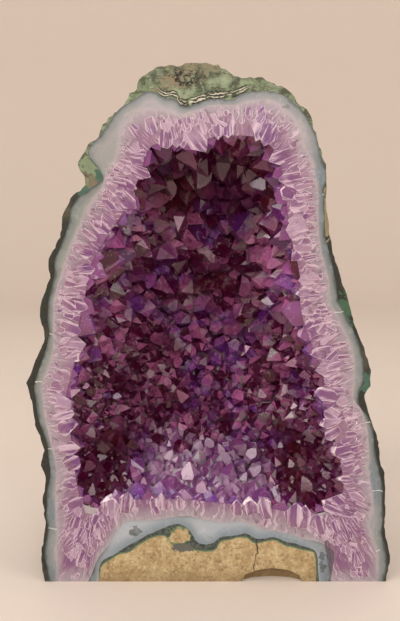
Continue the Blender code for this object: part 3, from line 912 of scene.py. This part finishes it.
def rim_place(share):
    """A place at a share of the way round the hollow's edge, and the direction away from the hollow."""
    where = share * len(hollow_rim)
    index = int(where) % len(hollow_rim)
    after = (index + 1) % len(hollow_rim)
    between = where - int(where)
    place = hollow_rim[index].lerp(hollow_rim[after], between)
    return place, outward(hollow_rim, index).lerp(outward(hollow_rim, after), between).normalized()


crust_line = np.array([(place.x, place.z) for place in crust_near])


def from_agate(place):
    """How far a place of the face lies inside the quartz, below 0 outside it."""
    gap = float(np.sqrt(((crust_line - (place.x, place.z)) ** 2).sum(1).min()))
    (x, z), (after_x, after_z) = crust_line.T, np.roll(crust_line, -1, axis=0).T
    level = (z > place.z) != (after_z > place.z)
    rise = np.where(level, after_z - z, 1.0)
    crossed = level & (place.x < x + (place.z - z) * (after_x - x) / rise)
    return gap if crossed.sum() % 2 else -gap


def sawn_crystal(name, rng, tip, away, half_width, length, height):
    """A crystal cut by the saw, or nothing when the saw misses it.

    The map `cell` holds the share of the half width and the distance from the tip, `grown` the
    paleness of the rim and a value of the crystal's own, `reach` the distance from the agate.
    """
    slim = length / half_width
    bm = crystal(rng, slim)
    roll = Matrix.Rotation(rng.uniform(0, math.tau), 4, "Z")
    aim = (-away).to_track_quat("Z", "Y").to_matrix().to_4x4()
    lean = Matrix.Rotation(math.radians(rng.gauss(0, SAWN_LEAN)), 4, (0, 1, 0))
    dive = math.radians(rng.uniform(-SAWN_DIVE, SAWN_DIVE))
    dive = Matrix.Rotation(dive, 4, away.cross(Vector((0, 1, 0))))
    depth = Vector((0, half_width * rng.uniform(*SAWN_DEPTH), 0))
    bmesh.ops.transform(bm, verts=bm.verts, matrix=roll)
    for vert in bm.verts:
        pinch = 1 - FOOT_PINCH * fade(-vert.co.z, 0.3 * slim, slim)
        vert.co = Vector((vert.co.x * pinch, vert.co.y * pinch, vert.co.z)) * half_width
    stand = Matrix.Translation(tip + depth) @ dive @ lean @ aim
    bmesh.ops.transform(bm, verts=bm.verts, matrix=stand)
    rim = cut_off(bm, Vector((0, FACE_Y - height, 0)), (0, -1, 0))
    if not rim or not bm.faces:
        bm.free()
        return None
    cut = bmesh.ops.holes_fill(bm, edges=rim, sides=0)["faces"]
    bmesh.ops.inset_region(bm, faces=cut, thickness=RIM_WIDTH, use_even_offset=True)
    bmesh.ops.recalc_face_normals(bm, faces=bm.faces)
    inner = {vert for face in cut for vert in face.verts}
    cell_map, grown_map, reach_map = (bm.loops.layers.uv.new(map_name) for map_name in SAWN_MAPS)
    own = rng.random()
    back = stand.inverted()
    on_edge = abs((back.to_3x3() @ Vector((0, 1, 0))).y) > 0.5
    for face in bm.faces:
        for corner in face.loops:
            local = back @ corner.vert.co
            side = local.x if on_edge else local.y
            corner[cell_map].uv = (side / half_width, -local.z)
            corner[grown_map].uv = (0 if corner.vert in inner else 1, own)
            corner[reach_map].uv = (from_agate(corner.vert.co), 0)
    return as_tool(name, bm)


rng = random.Random(SAWN_SEED)
sawn_group = bpy.data.collections.new("sawn")
bpy.context.scene.collection.children.link(sawn_group)
rim_length = sum((a - b).length for a, b in zip(hollow_rim, hollow_rim[1:] + hollow_rim[:1]))
cuts = []                   # tip, direction away from the hollow, half width, greatest length, height
for behind, stray, thin, thick, spacing, short, long, height in SAWN_RANKS:
    count = round((rim_length + math.tau * behind) / spacing)
    for number in range(count):
        place, away = rim_place(((number + rng.uniform(-0.38, 0.38)) / count) % 1.0)
        tip = place + away * (behind + rng.uniform(-stray, stray))
        cuts.append((tip, away, rng.uniform(thin, thick), rng.uniform(short, long), height))
for left, right in CORNERS:
    for _ in range(CORNER_TRIES):
        tip = Vector((rng.uniform(left, right), FACE_Y, rng.uniform(CORNER_BASE, CORNER_TOP)))
        nearest = min(hollow_rim, key=lambda place: (place - tip).length)
        away = Vector((tip.x - nearest.x * 0.92, 0, tip.z - nearest.z - 0.02)).normalized()
        cuts.append((tip, away, rng.uniform(*CORNER_WIDTHS), rng.uniform(*CORNER_LENGTHS), CORNER_HEIGHT))
sawn = []
for tip, away, half_width, longest, height in cuts:
    length = min(longest, from_agate(tip) - 0.001)
    if length < 1.7 * half_width:
        continue
    lifted = height + rng.uniform(-HEIGHT_STRAY, HEIGHT_STRAY)
    item = sawn_crystal(f"sawn_{len(sawn)}", rng, tip, away, half_width, length, lifted)
    if item:
        if sawn:
            bpy.context.scene.collection.objects.unlink(item)
            sawn_group.objects.link(item)
        sawn.append(item)
trim(sawn[0], "UNION", sawn_group)
cells = settle("sawn_crystals", sawn[0], sawn[1:])

PURPLE_CELLS = ((32, 301, 10, 12), (-91, 118, 7, 14), (-86, 90, 7, 12), (-76, 214, 6, 8))

sawn_finish, tree, shader, place = new_finish("sawn_amethyst")
across, from_tip = on_map(tree, "cell", "X"), on_map(tree, "cell", "Y")
rim, own = on_map(tree, "grown", "X"), on_map(tree, "grown", "Y")
each_apart = joined(across, from_tip, times(own, 40.0))
streaks = fibres(each_apart, 0.30, 0.016, 4)
blots = fibres(each_apart, 0.8, 0.005, 3)
fine_line = joined(times(across, 0.004), from_tip, own)
at_tip = times(own, past(from_tip, 0.012, 0.0))
colour = coats(
    QUARTZ_PINK,
    (past(on_map(tree, "reach", "X"), 0.002, 0.017), QUARTZ_LILAC),
    (past(at_tip, 0.30, 0.9, 0.75), QUARTZ_PURPLE),
)
for x, z, wide, tall in PURPLE_CELLS:
    colour = coats(colour, (spot(place, x, z, wide, tall, 0.6, 150), QUARTZ_PURPLE))
rim = times(rim, past(grain(place, 260, 3, 0.6), 0.40, 0.56, 1.0, 0.25))
colour = coats(
    colour,
    (past(own, 0.26, 0.0, 0.45), QUARTZ_WHITE),
    (past(grain(place, 60, 4), 0.48, 0.66, 0.3), QUARTZ_WHITE),
    (past(blots, 0.54, 0.70, 0.7), QUARTZ_MAUVE),
    (past(streaks, 0.50, 0.64, 0.75), QUARTZ_WHITE),
    (past(fibres(fine_line, 0.0005, 0.016, 5), 0.54, 0.63, 0.85), QUARTZ_WHITE),
    (past(fibres(fine_line, 0.0009, 0.012, 5), 0.56, 0.66, 0.8), QUARTZ_MAUVE),
    (past(rim, 0.25, 0.95, 0.85), RIM_PALE),
    (past(axis(place, "Y"), FACE_Y + 0.0004, FACE_Y + 0.004), QUARTZ_PURPLE),
)
feed(shader, {"Base Color": colour, "Roughness": 0.14})
cloudy(shader, 0.25, (0.004, 0.003, 0.004))

cells.data.materials.append(sawn_finish)
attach(cells, "root")
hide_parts("amethyst_crust")


# Amethyst points. Clear purple quartz, grown side by side all over the hollow's wall: short
# six-sided prisms under pointed ends, each leaning its own way. All are grown into one crust.
# On the floor's mound and at the mouth the same growth is paler and clearer, as a second piece.
POINT_SEED = 11
POINT_SIZES = (             # radius, room it takes, places tried
    (0.0090, 0.0132, 110), (0.0074, 0.0102, 1400), (0.0058, 0.0078, 6000), (0.0046, 0.0044, 16000),
)
LARGE_POINTS = (            # seen from the camera: pixel across and down, radius
    (141, 248, 0.0115), (161, 228, 0.0095), (130, 266, 0.0090), (260, 274, 0.0110), (238, 295, 0.0100),
    (205, 207, 0.0085), (273, 188, 0.0100), (222, 182, 0.0090), (176, 262, 0.0095), (297, 487, 0.0110),
    (250, 220, 0.0090), (200, 290, 0.0085), (160, 330, 0.0080), (225, 330, 0.0080),
)
LARGE_ROOM = 1.5            # the room a large point takes, in radii
TOWARDS_VIEW = 0.35         # how far it turns from the wall's direction to the camera's
MOUTH_SIZE = 0.78           # share of their size that the points at the mouth keep
FOOT_SIZE, CROWN_SIZE = 0.86, 1.30          # the points at the foot are finer than those of the crown
POINT_STRAY = (0.85, 1.12)
POINT_RISE = (1.00, 1.90)
POINT_LEAN = math.radians(27)
HABITS, HABIT_LENGTH = 8, 3.4
PHOTO_MIDDLE, PHOTO_FOCUS = (200.0, 310.5), 839.0
MOUND_MIDDLE, MOUND_TOP = -0.004, 0.082
MOUND_HALF, MOUND_DEEP = (0.040, 0.056), (0.075, 0.100)     # each point draws how far the mound reaches
MOUTH_DEEP = (0.002, 0.010)


def seeded_places(item, rng):
    """Places on the wall behind the face, big points first, each with its inward direction and radius."""
    bm = bmesh.new()
    bm.from_mesh(item.data)
    bmesh.ops.triangulate(bm, faces=bm.faces)
    wall = BVHTree.FromBMesh(bm)
    faces = [face for face in bm.faces if face.calc_center_median().y > FACE_Y + 0.0008]
    faces.sort(key=lambda face: tuple(round(part, 6) for part in face.calc_center_median()))
    areas = [face.calc_area() for face in faces]
    chosen = []
    turn = Matrix.Rotation(math.radians(90) - VIEW_PITCH, 3, "X")
    middle_across, middle_down = PHOTO_MIDDLE
    for across, down, radius in LARGE_POINTS:
        right, up = (across - middle_across) / PHOTO_FOCUS, (middle_down - down) / PHOTO_FOCUS
        ray = turn @ Vector((right, up, -1))
        place, normal = wall.ray_cast(Vector(VIEW_FROM) + ray * 0.5, ray)[:2]
        leaned = (normal * (-1 if normal.dot(ray) > 0 else 1)).lerp(-ray.normalized(), TOWARDS_VIEW)
        chosen.append((place, leaned.normalized(), radius))
    taken = np.array([(*place, radius * LARGE_ROOM) for place, _, radius in chosen])
    for radius, spacing, tries in POINT_SIZES:
        for face in rng.choices(faces, weights=areas, k=tries):
            across, along = math.sqrt(rng.random()), rng.random()
            a, b, c = (vert.co for vert in face.verts)
            place = a * (1 - across) + b * (across * (1 - along)) + c * (across * along)
            swell = FOOT_SIZE + (CROWN_SIZE - FOOT_SIZE) * fade(place.z, 0.10, 0.21)
            swell *= MOUTH_SIZE + (1 - MOUTH_SIZE) * fade(place.y, FACE_Y + 0.002, FACE_Y + 0.016)
            apart = np.sqrt(((taken[:, :3] - tuple(place)) ** 2).sum(1))
            if (apart > (spacing * swell + taken[:, 3]) / 2).all():
                taken = np.vstack([taken, (*place, spacing * swell)])
                chosen.append((place, -face.normal.copy(), radius * swell))
    bm.free()
    return chosen


rng = random.Random(POINT_SEED)
habits = []
for number in range(HABITS):
    mesh = bpy.data.meshes.new(f"habit_{number}")
    bm = crystal(rng, HABIT_LENGTH)
    bm.to_mesh(mesh)
    bm.free()
    for map_name in FACE_MAPS:
        mesh.uv_layers.new(name=map_name)
    # Each face gets a random tone of its own: partly the colour zoning of amethyst's sectors, partly painted
    # reflection and shade that lightens or darkens whole facets as if they caught the room's light.
    for face in mesh.polygons:
        zoning_and_painted_reflection = rng.random()
        for corner in face.loop_indices:
            mesh.uv_layers["kind"].data[corner].uv = (zoning_and_painted_reflection, 0)
    habits.append(mesh)
grown_points = {"amethyst_points": [], "pale_points": []}
for number, (place, inward_way, radius) in enumerate(seeded_places(hollow_roots, rng)):
    size = radius * rng.uniform(*POINT_STRAY)
    rise = size * rng.uniform(*POINT_RISE)
    lean = Matrix.Rotation(POINT_LEAN * rng.random() ** 0.7, 4, "X")
    heading = Matrix.Rotation(rng.uniform(0, math.tau), 4, "Z")
    turn = Matrix.Rotation(rng.uniform(0, math.tau), 4, "Z")
    aim = inward_way.to_track_quat("Z", "Y").to_matrix().to_4x4()
    tip = Matrix.Translation((0, 0, rise))
    point = rng.choice(habits).copy()
    own = np.empty(len(point.loops) * 2, dtype=np.float32)
    point.uv_layers["kind"].data.foreach_get("uv", own)
    own[1::2] = rng.random()
    point.uv_layers["kind"].data.foreach_set("uv", own)
    point.transform(Matrix.Translation(place) @ aim @ heading @ lean @ tip @ Matrix.Scale(size, 4) @ turn)
    in_mound = abs(place.x - MOUND_MIDDLE) < rng.uniform(*MOUND_HALF)
    in_mound = in_mound and place.y < FACE_Y + rng.uniform(*MOUND_DEEP)
    pale = (place.z < MOUND_TOP and in_mound) or place.y < FACE_Y + rng.uniform(*MOUTH_DEEP)
    crust = "pale_points" if pale else "amethyst_points"
    grown_points[crust].append(bpy.data.objects.new(f"point_{number}", point))

root_room = wall_shell("root_room", 0.0008)
crusts = []
for name, grown_here in grown_points.items():
    group = bpy.data.collections.new(name)
    bpy.context.scene.collection.children.link(group)
    bpy.context.scene.collection.objects.link(grown_here[0])
    for item in grown_here[1:]:
        group.objects.link(item)
    trim(grown_here[0], "UNION", group)
    trim(grown_here[0], "INTERSECT", root_room)
    trim(grown_here[0], "DIFFERENCE", face_saw)
    crusts.append(settle(name, grown_here[0], grown_here[1:]))
bpy.data.objects.remove(root_room)
bpy.data.objects.remove(hollow_roots)

POINT_VIOLET = tone(136, 62, 200)
POINT_BROWN = tone(104, 30, 38)
SOAK = (0.66, 0.12, 0.40, 1.0)
# The pale colour of each crust also serves as painted reflection on its lightest facets.
POINT_TONES = (             # deep, middle and pale colour, share of violet, absorption density
    (tone(98, 16, 60), tone(250, 142, 208), tone(252, 222, 236), 0.65, 17.0),
    (tone(164, 92, 158), tone(248, 206, 238), tone(255, 253, 255), 0.42, 4.5),
)
for piece, (deep, middle, pale, violets, density) in zip(crusts, POINT_TONES):
    finish, tree, shader, place = new_finish(piece.name)
    zoning_and_painted_reflection, own = on_map(tree, "kind", "X"), on_map(tree, "kind", "Y")
    # Each facet's tone, from the deep colour through the middle one to the pale one: partly sector zoning,
    # partly painted reflection and shade; the palest facets stand in for reflections of the room.
    lightness = plus(times(zoning_and_painted_reflection, 0.6), times(own, 0.4))
    in_front = past(axis(place, "Y"), FACE_Y + 0.034, FACE_Y + 0.008, 0.8)
    violet = past(grain(place, 34, 2, 0.5), 0.44, 0.60, violets)
    violet = times(maths("MAXIMUM", violet, in_front), past(own, 0.1, 0.8))
    veils = grain(place, 230, 5, 0.7, 0.8)
    height = axis(place, "Z")
    # Painted shade: the points darken towards the crown of the hollow and in its lower corners beside the
    # mound, where shadow falls, over random darker patches of their own colour; there they take the deep
    # colour, browner in places.
    to_side = past(gap_of(axis(place, "X"), MOUND_MIDDLE), 0.044, 0.060, 0.8)
    dark_patches_and_painted_shade = past(grain(place, 26, 3, 0.5), 0.56, 0.42, 0.5)
    dark_patches_and_painted_shade = maths("MAXIMUM", dark_patches_and_painted_shade, past(height, 0.215, 0.262, 0.75))
    dark_patches_and_painted_shade = maths("MAXIMUM", dark_patches_and_painted_shade, times(to_side, past(height, 0.100, 0.080)))
    brown = past(grain(place, 30, 2, 0.5), 0.48, 0.58)
    colour = coats(
        deep,
        (past(lightness, 0.34, 0.66), middle),
        (past(lightness, 0.70, 0.86), pale),
        (violet, POINT_VIOLET),
        (past(veils, 0.54, 0.66, 0.5), pale),
        (past(veils, 0.46, 0.36, 0.6), deep),
        (dark_patches_and_painted_shade, coats(deep, (brown, POINT_BROWN))),
    )
    feed(shader, {"Base Color": colour, "Roughness": 0.03, "IOR": 1.544})
    shader.inputs["Transmission Weight"].default_value = 0.56
    relief(shader, veils, 0.10, 0.0004)
    soak = wire(tree, "ShaderNodeVolumeAbsorption", {"Color": SOAK, "Density": density})
    feed(tree.nodes["Material Output"], {"Volume": soak.outputs["Volume"]})
    piece.data.materials.append(finish)
    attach(piece, "root")
    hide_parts("amethyst_crust")


# Host rock. A tan granular rock left under the crust at the foot, with a dark green skin where the
# agate grew on it. Sawn on the face and base, chipped along its lower front edge and cracked.
TAN_TOP = (                 # where the tan rock begins under its dark skin, x and z in mm
    (-75, 0), (-73, 11.5), (-65, 16), (-61, 20), (-56.5, 19), (-52, 21), (-50, 24), (-44.5, 27.5),
    (-39, 30.5), (-31.5, 32), (-28.5, 29), (-26, 25.5), (-21, 21.5), (-12.5, 22), (-8.5, 21),
    (-2, 20), (3.5, 21), (5.5, 23.5), (6, 27.5), (9.5, 28.5), (14, 28.5), (18, 30.5), (23.5, 31),
    (26, 29), (27.5, 26), (31.5, 25.5), (33, 27), (39.5, 28.5), (45, 28), (48, 25), (54.5, 23.5),
    (62, 22), (69.5, 20.5), (71, 0),
)
tan_seam = grown_border(TAN_TOP)
rock_foot = halves(sawn_rims("matrix_rock")[0])[1]
rock_near = evenly(rock_seam, 0.002)
tan_near = facing(rock_near, tan_seam, 8)
rock_band = polished_plate("rock_band", [rock_near, tan_near, facing(tan_near, rock_foot, 8)], [3, 8])
rock_body = as_tool("rock_body", merged_copy("matrix_rock"), FACE_MAPS)
trim(rock_body, "DIFFERENCE", face_saw)
trim(rock_body, "UNION", rock_band)
rock = settle("host_rock", rock_body, (rock_band, face_saw))

ROCK_TAN = tone(154, 131, 92)
ROCK_PALE = tone(178, 158, 118)
ROCK_GRAIN = tone(206, 192, 160)
ROCK_BROWN = tone(108, 88, 56)
ROCK_SKIN = tone(48, 54, 50)
SKIN_GREY = tone(80, 88, 80)
SKIN_GREEN = tone(98, 126, 86)
HOLE_SHADE_GREY = tone(86, 86, 80)
CRACK_DARK = tone(36, 30, 22)

rock_finish, tree, shader, place = new_finish("tan_host_rock")
height = axis(place, "Z")
at_face = past(axis(place, "Y"), FACE_Y + 0.0016, FACE_Y + 0.0008)
coarse = grain(place, 95, 5, 0.65)
gritty = grain(place, 460, 4, 0.7)
tan = coats(
    ROCK_TAN,
    (past(coarse, 0.40, 0.62), ROCK_PALE),
    (past(grain(place, 240, 5, 0.7), 0.52, 0.64, 0.4), ROCK_BROWN),
    (past(gritty, 0.44, 0.34, 0.6), ROCK_GRAIN),
    (past(gritty, 0.54, 0.66, 0.8), ROCK_BROWN),
    (past(height, 0.012, 0.0, 0.45), ROCK_BROWN),
)
in_skin = times(past(on_map(tree, "kind", "X"), 0.5, 0.4), at_face)
skin_tone = coats(ROCK_SKIN, (past(gritty, 0.42, 0.62), SKIN_GREY))
green_gap = plus(on_map(tree, "edges", "Y"), spread(gritty, -0.0004, 0.0006))
green_line = times(past(green_gap, 0.0012, 0.0005), in_skin, 0.8)
lump = times(spot(place, -20.3, 31.1, 7.8, 4.9, 0.35), at_face)
lump_edge = times(spot(place, -20.3, 31.1, 8.9, 5.9, 0.35), at_face, 0.8)
# Painted shade: a grey patch under the lump stands for the shadowed hole beneath it, which the shape doesn't
# have.
hole = times(spot(place, -17.5, 23.8, 7.5, 2.9, 0.4), at_face)
crack_x = plus(axis(place, "X"), times(height, -0.10))
crack_off = gap_of(crack_x, spread(grain(place, 120, 3), 0.0300, 0.0278))
crack = times(past(crack_off, 0.0006, 0.00015), at_face, past(height, 0.004, 0.009), 0.9)
colour = coats(
    tan,
    (in_skin, skin_tone),
    (green_line, SKIN_GREEN),
    (lump_edge, SKIN_GREEN),
    (lump, tan),
    (hole, HOLE_SHADE_GREY),
    (crack, CRACK_DARK),
    (times(maths("SUBTRACT", 1.0, at_face), 0.55), ROCK_BROWN),
)
feed(shader, {"Base Color": colour, "Roughness": 0.82})
relief(shader, gritty, 0.5, 0.0008)

rock.data.materials.append(rock_finish)
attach(rock, "root")
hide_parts("matrix_rock")


# The stage: a plain pale floor that curves up all round the geode, a broad soft window light from
# the left, softer ones from the right, the front and above, and dim warm surroundings.
FLOOR_FLAT, FLOOR_BEND, FLOOR_TOP = 1.9, 0.9, 3.0
BEND_STEPS, FLOOR_STEPS = 12, 72
profile = [(0, 0), (FLOOR_FLAT, 0)]
for step in range(1, BEND_STEPS + 1):
    turn = math.radians(90) * step / BEND_STEPS
    profile.append((FLOOR_FLAT + FLOOR_BEND * math.sin(turn), FLOOR_BEND * (1 - math.cos(turn))))
profile.append((FLOOR_FLAT + FLOOR_BEND, FLOOR_TOP))
bm = bmesh.new()
verts = [bm.verts.new((out, 0, up)) for out, up in profile]
edges = [bm.edges.new(pair) for pair in zip(verts, verts[1:])]
bmesh.ops.spin(
    bm, geom=edges, cent=(0, 0, 0), axis=(0, 0, 1), angle=math.tau, steps=FLOOR_STEPS, use_merge=True)
bmesh.ops.remove_doubles(bm, verts=bm.verts, dist=WELD)
bmesh.ops.recalc_face_normals(bm, faces=bm.faces)
bmesh.ops.reverse_faces(bm, faces=bm.faces)
floor_mesh = bpy.data.meshes.new("floor")
bm.to_mesh(floor_mesh)
bm.free()
floor_mesh.shade_smooth()
floor = placed("floor", floor_mesh)
floor_finish, tree, shader, place = new_finish("floor")
feed(shader, {"Base Color": tone(222, 211, 200), "Roughness": 0.6})
floor_mesh.materials.append(floor_finish)

GEODE_MIDDLE = (0, 0, 0.16)
LAMPS = (                   # name, place, what it is aimed at, width and height, watts, colour
    ("window", (-1.2, -1.5, 1.2), GEODE_MIDDLE, (1.5, 1.5), 29, (1.0, 0.955, 0.92)),
    ("side", (1.40, -1.1, 0.85), GEODE_MIDDLE, (0.9, 1.1), 8, (1.0, 0.97, 0.96)),
    ("front", (0.3, -1.9, 0.85), GEODE_MIDDLE, (1.5, 0.7), 9, (1.0, 0.96, 0.93)),
    ("glint", (0.25, -1.3, 0.75), GEODE_MIDDLE, (0.08, 0.08), 1.2, (1.0, 0.98, 0.95)),
    ("ceiling", (0, 0.4, 2.7), (0, 0.4, 0), (3.0, 3.0), 42, (1.0, 0.96, 0.94)),
)
for name, place, target, size, watts, colour in LAMPS:
    lamp = bpy.data.lights.new(name, "AREA")
    lamp.shape = "RECTANGLE"
    lamp.size, lamp.size_y = size
    lamp.energy = watts
    lamp.color = colour
    item = placed(name, lamp)
    item.location = place
    item.rotation_euler = (Vector(target) - Vector(place)).to_track_quat("-Z", "Y").to_euler()
    item.visible_camera = False
world = bpy.data.worlds.new("surroundings")
world.use_nodes = True
feed(world.node_tree.nodes["Background"], {"Color": tone(214, 190, 170), "Strength": 0.28})
bpy.context.scene.world = world
bpy.context.scene.view_settings.view_transform = "Standard"
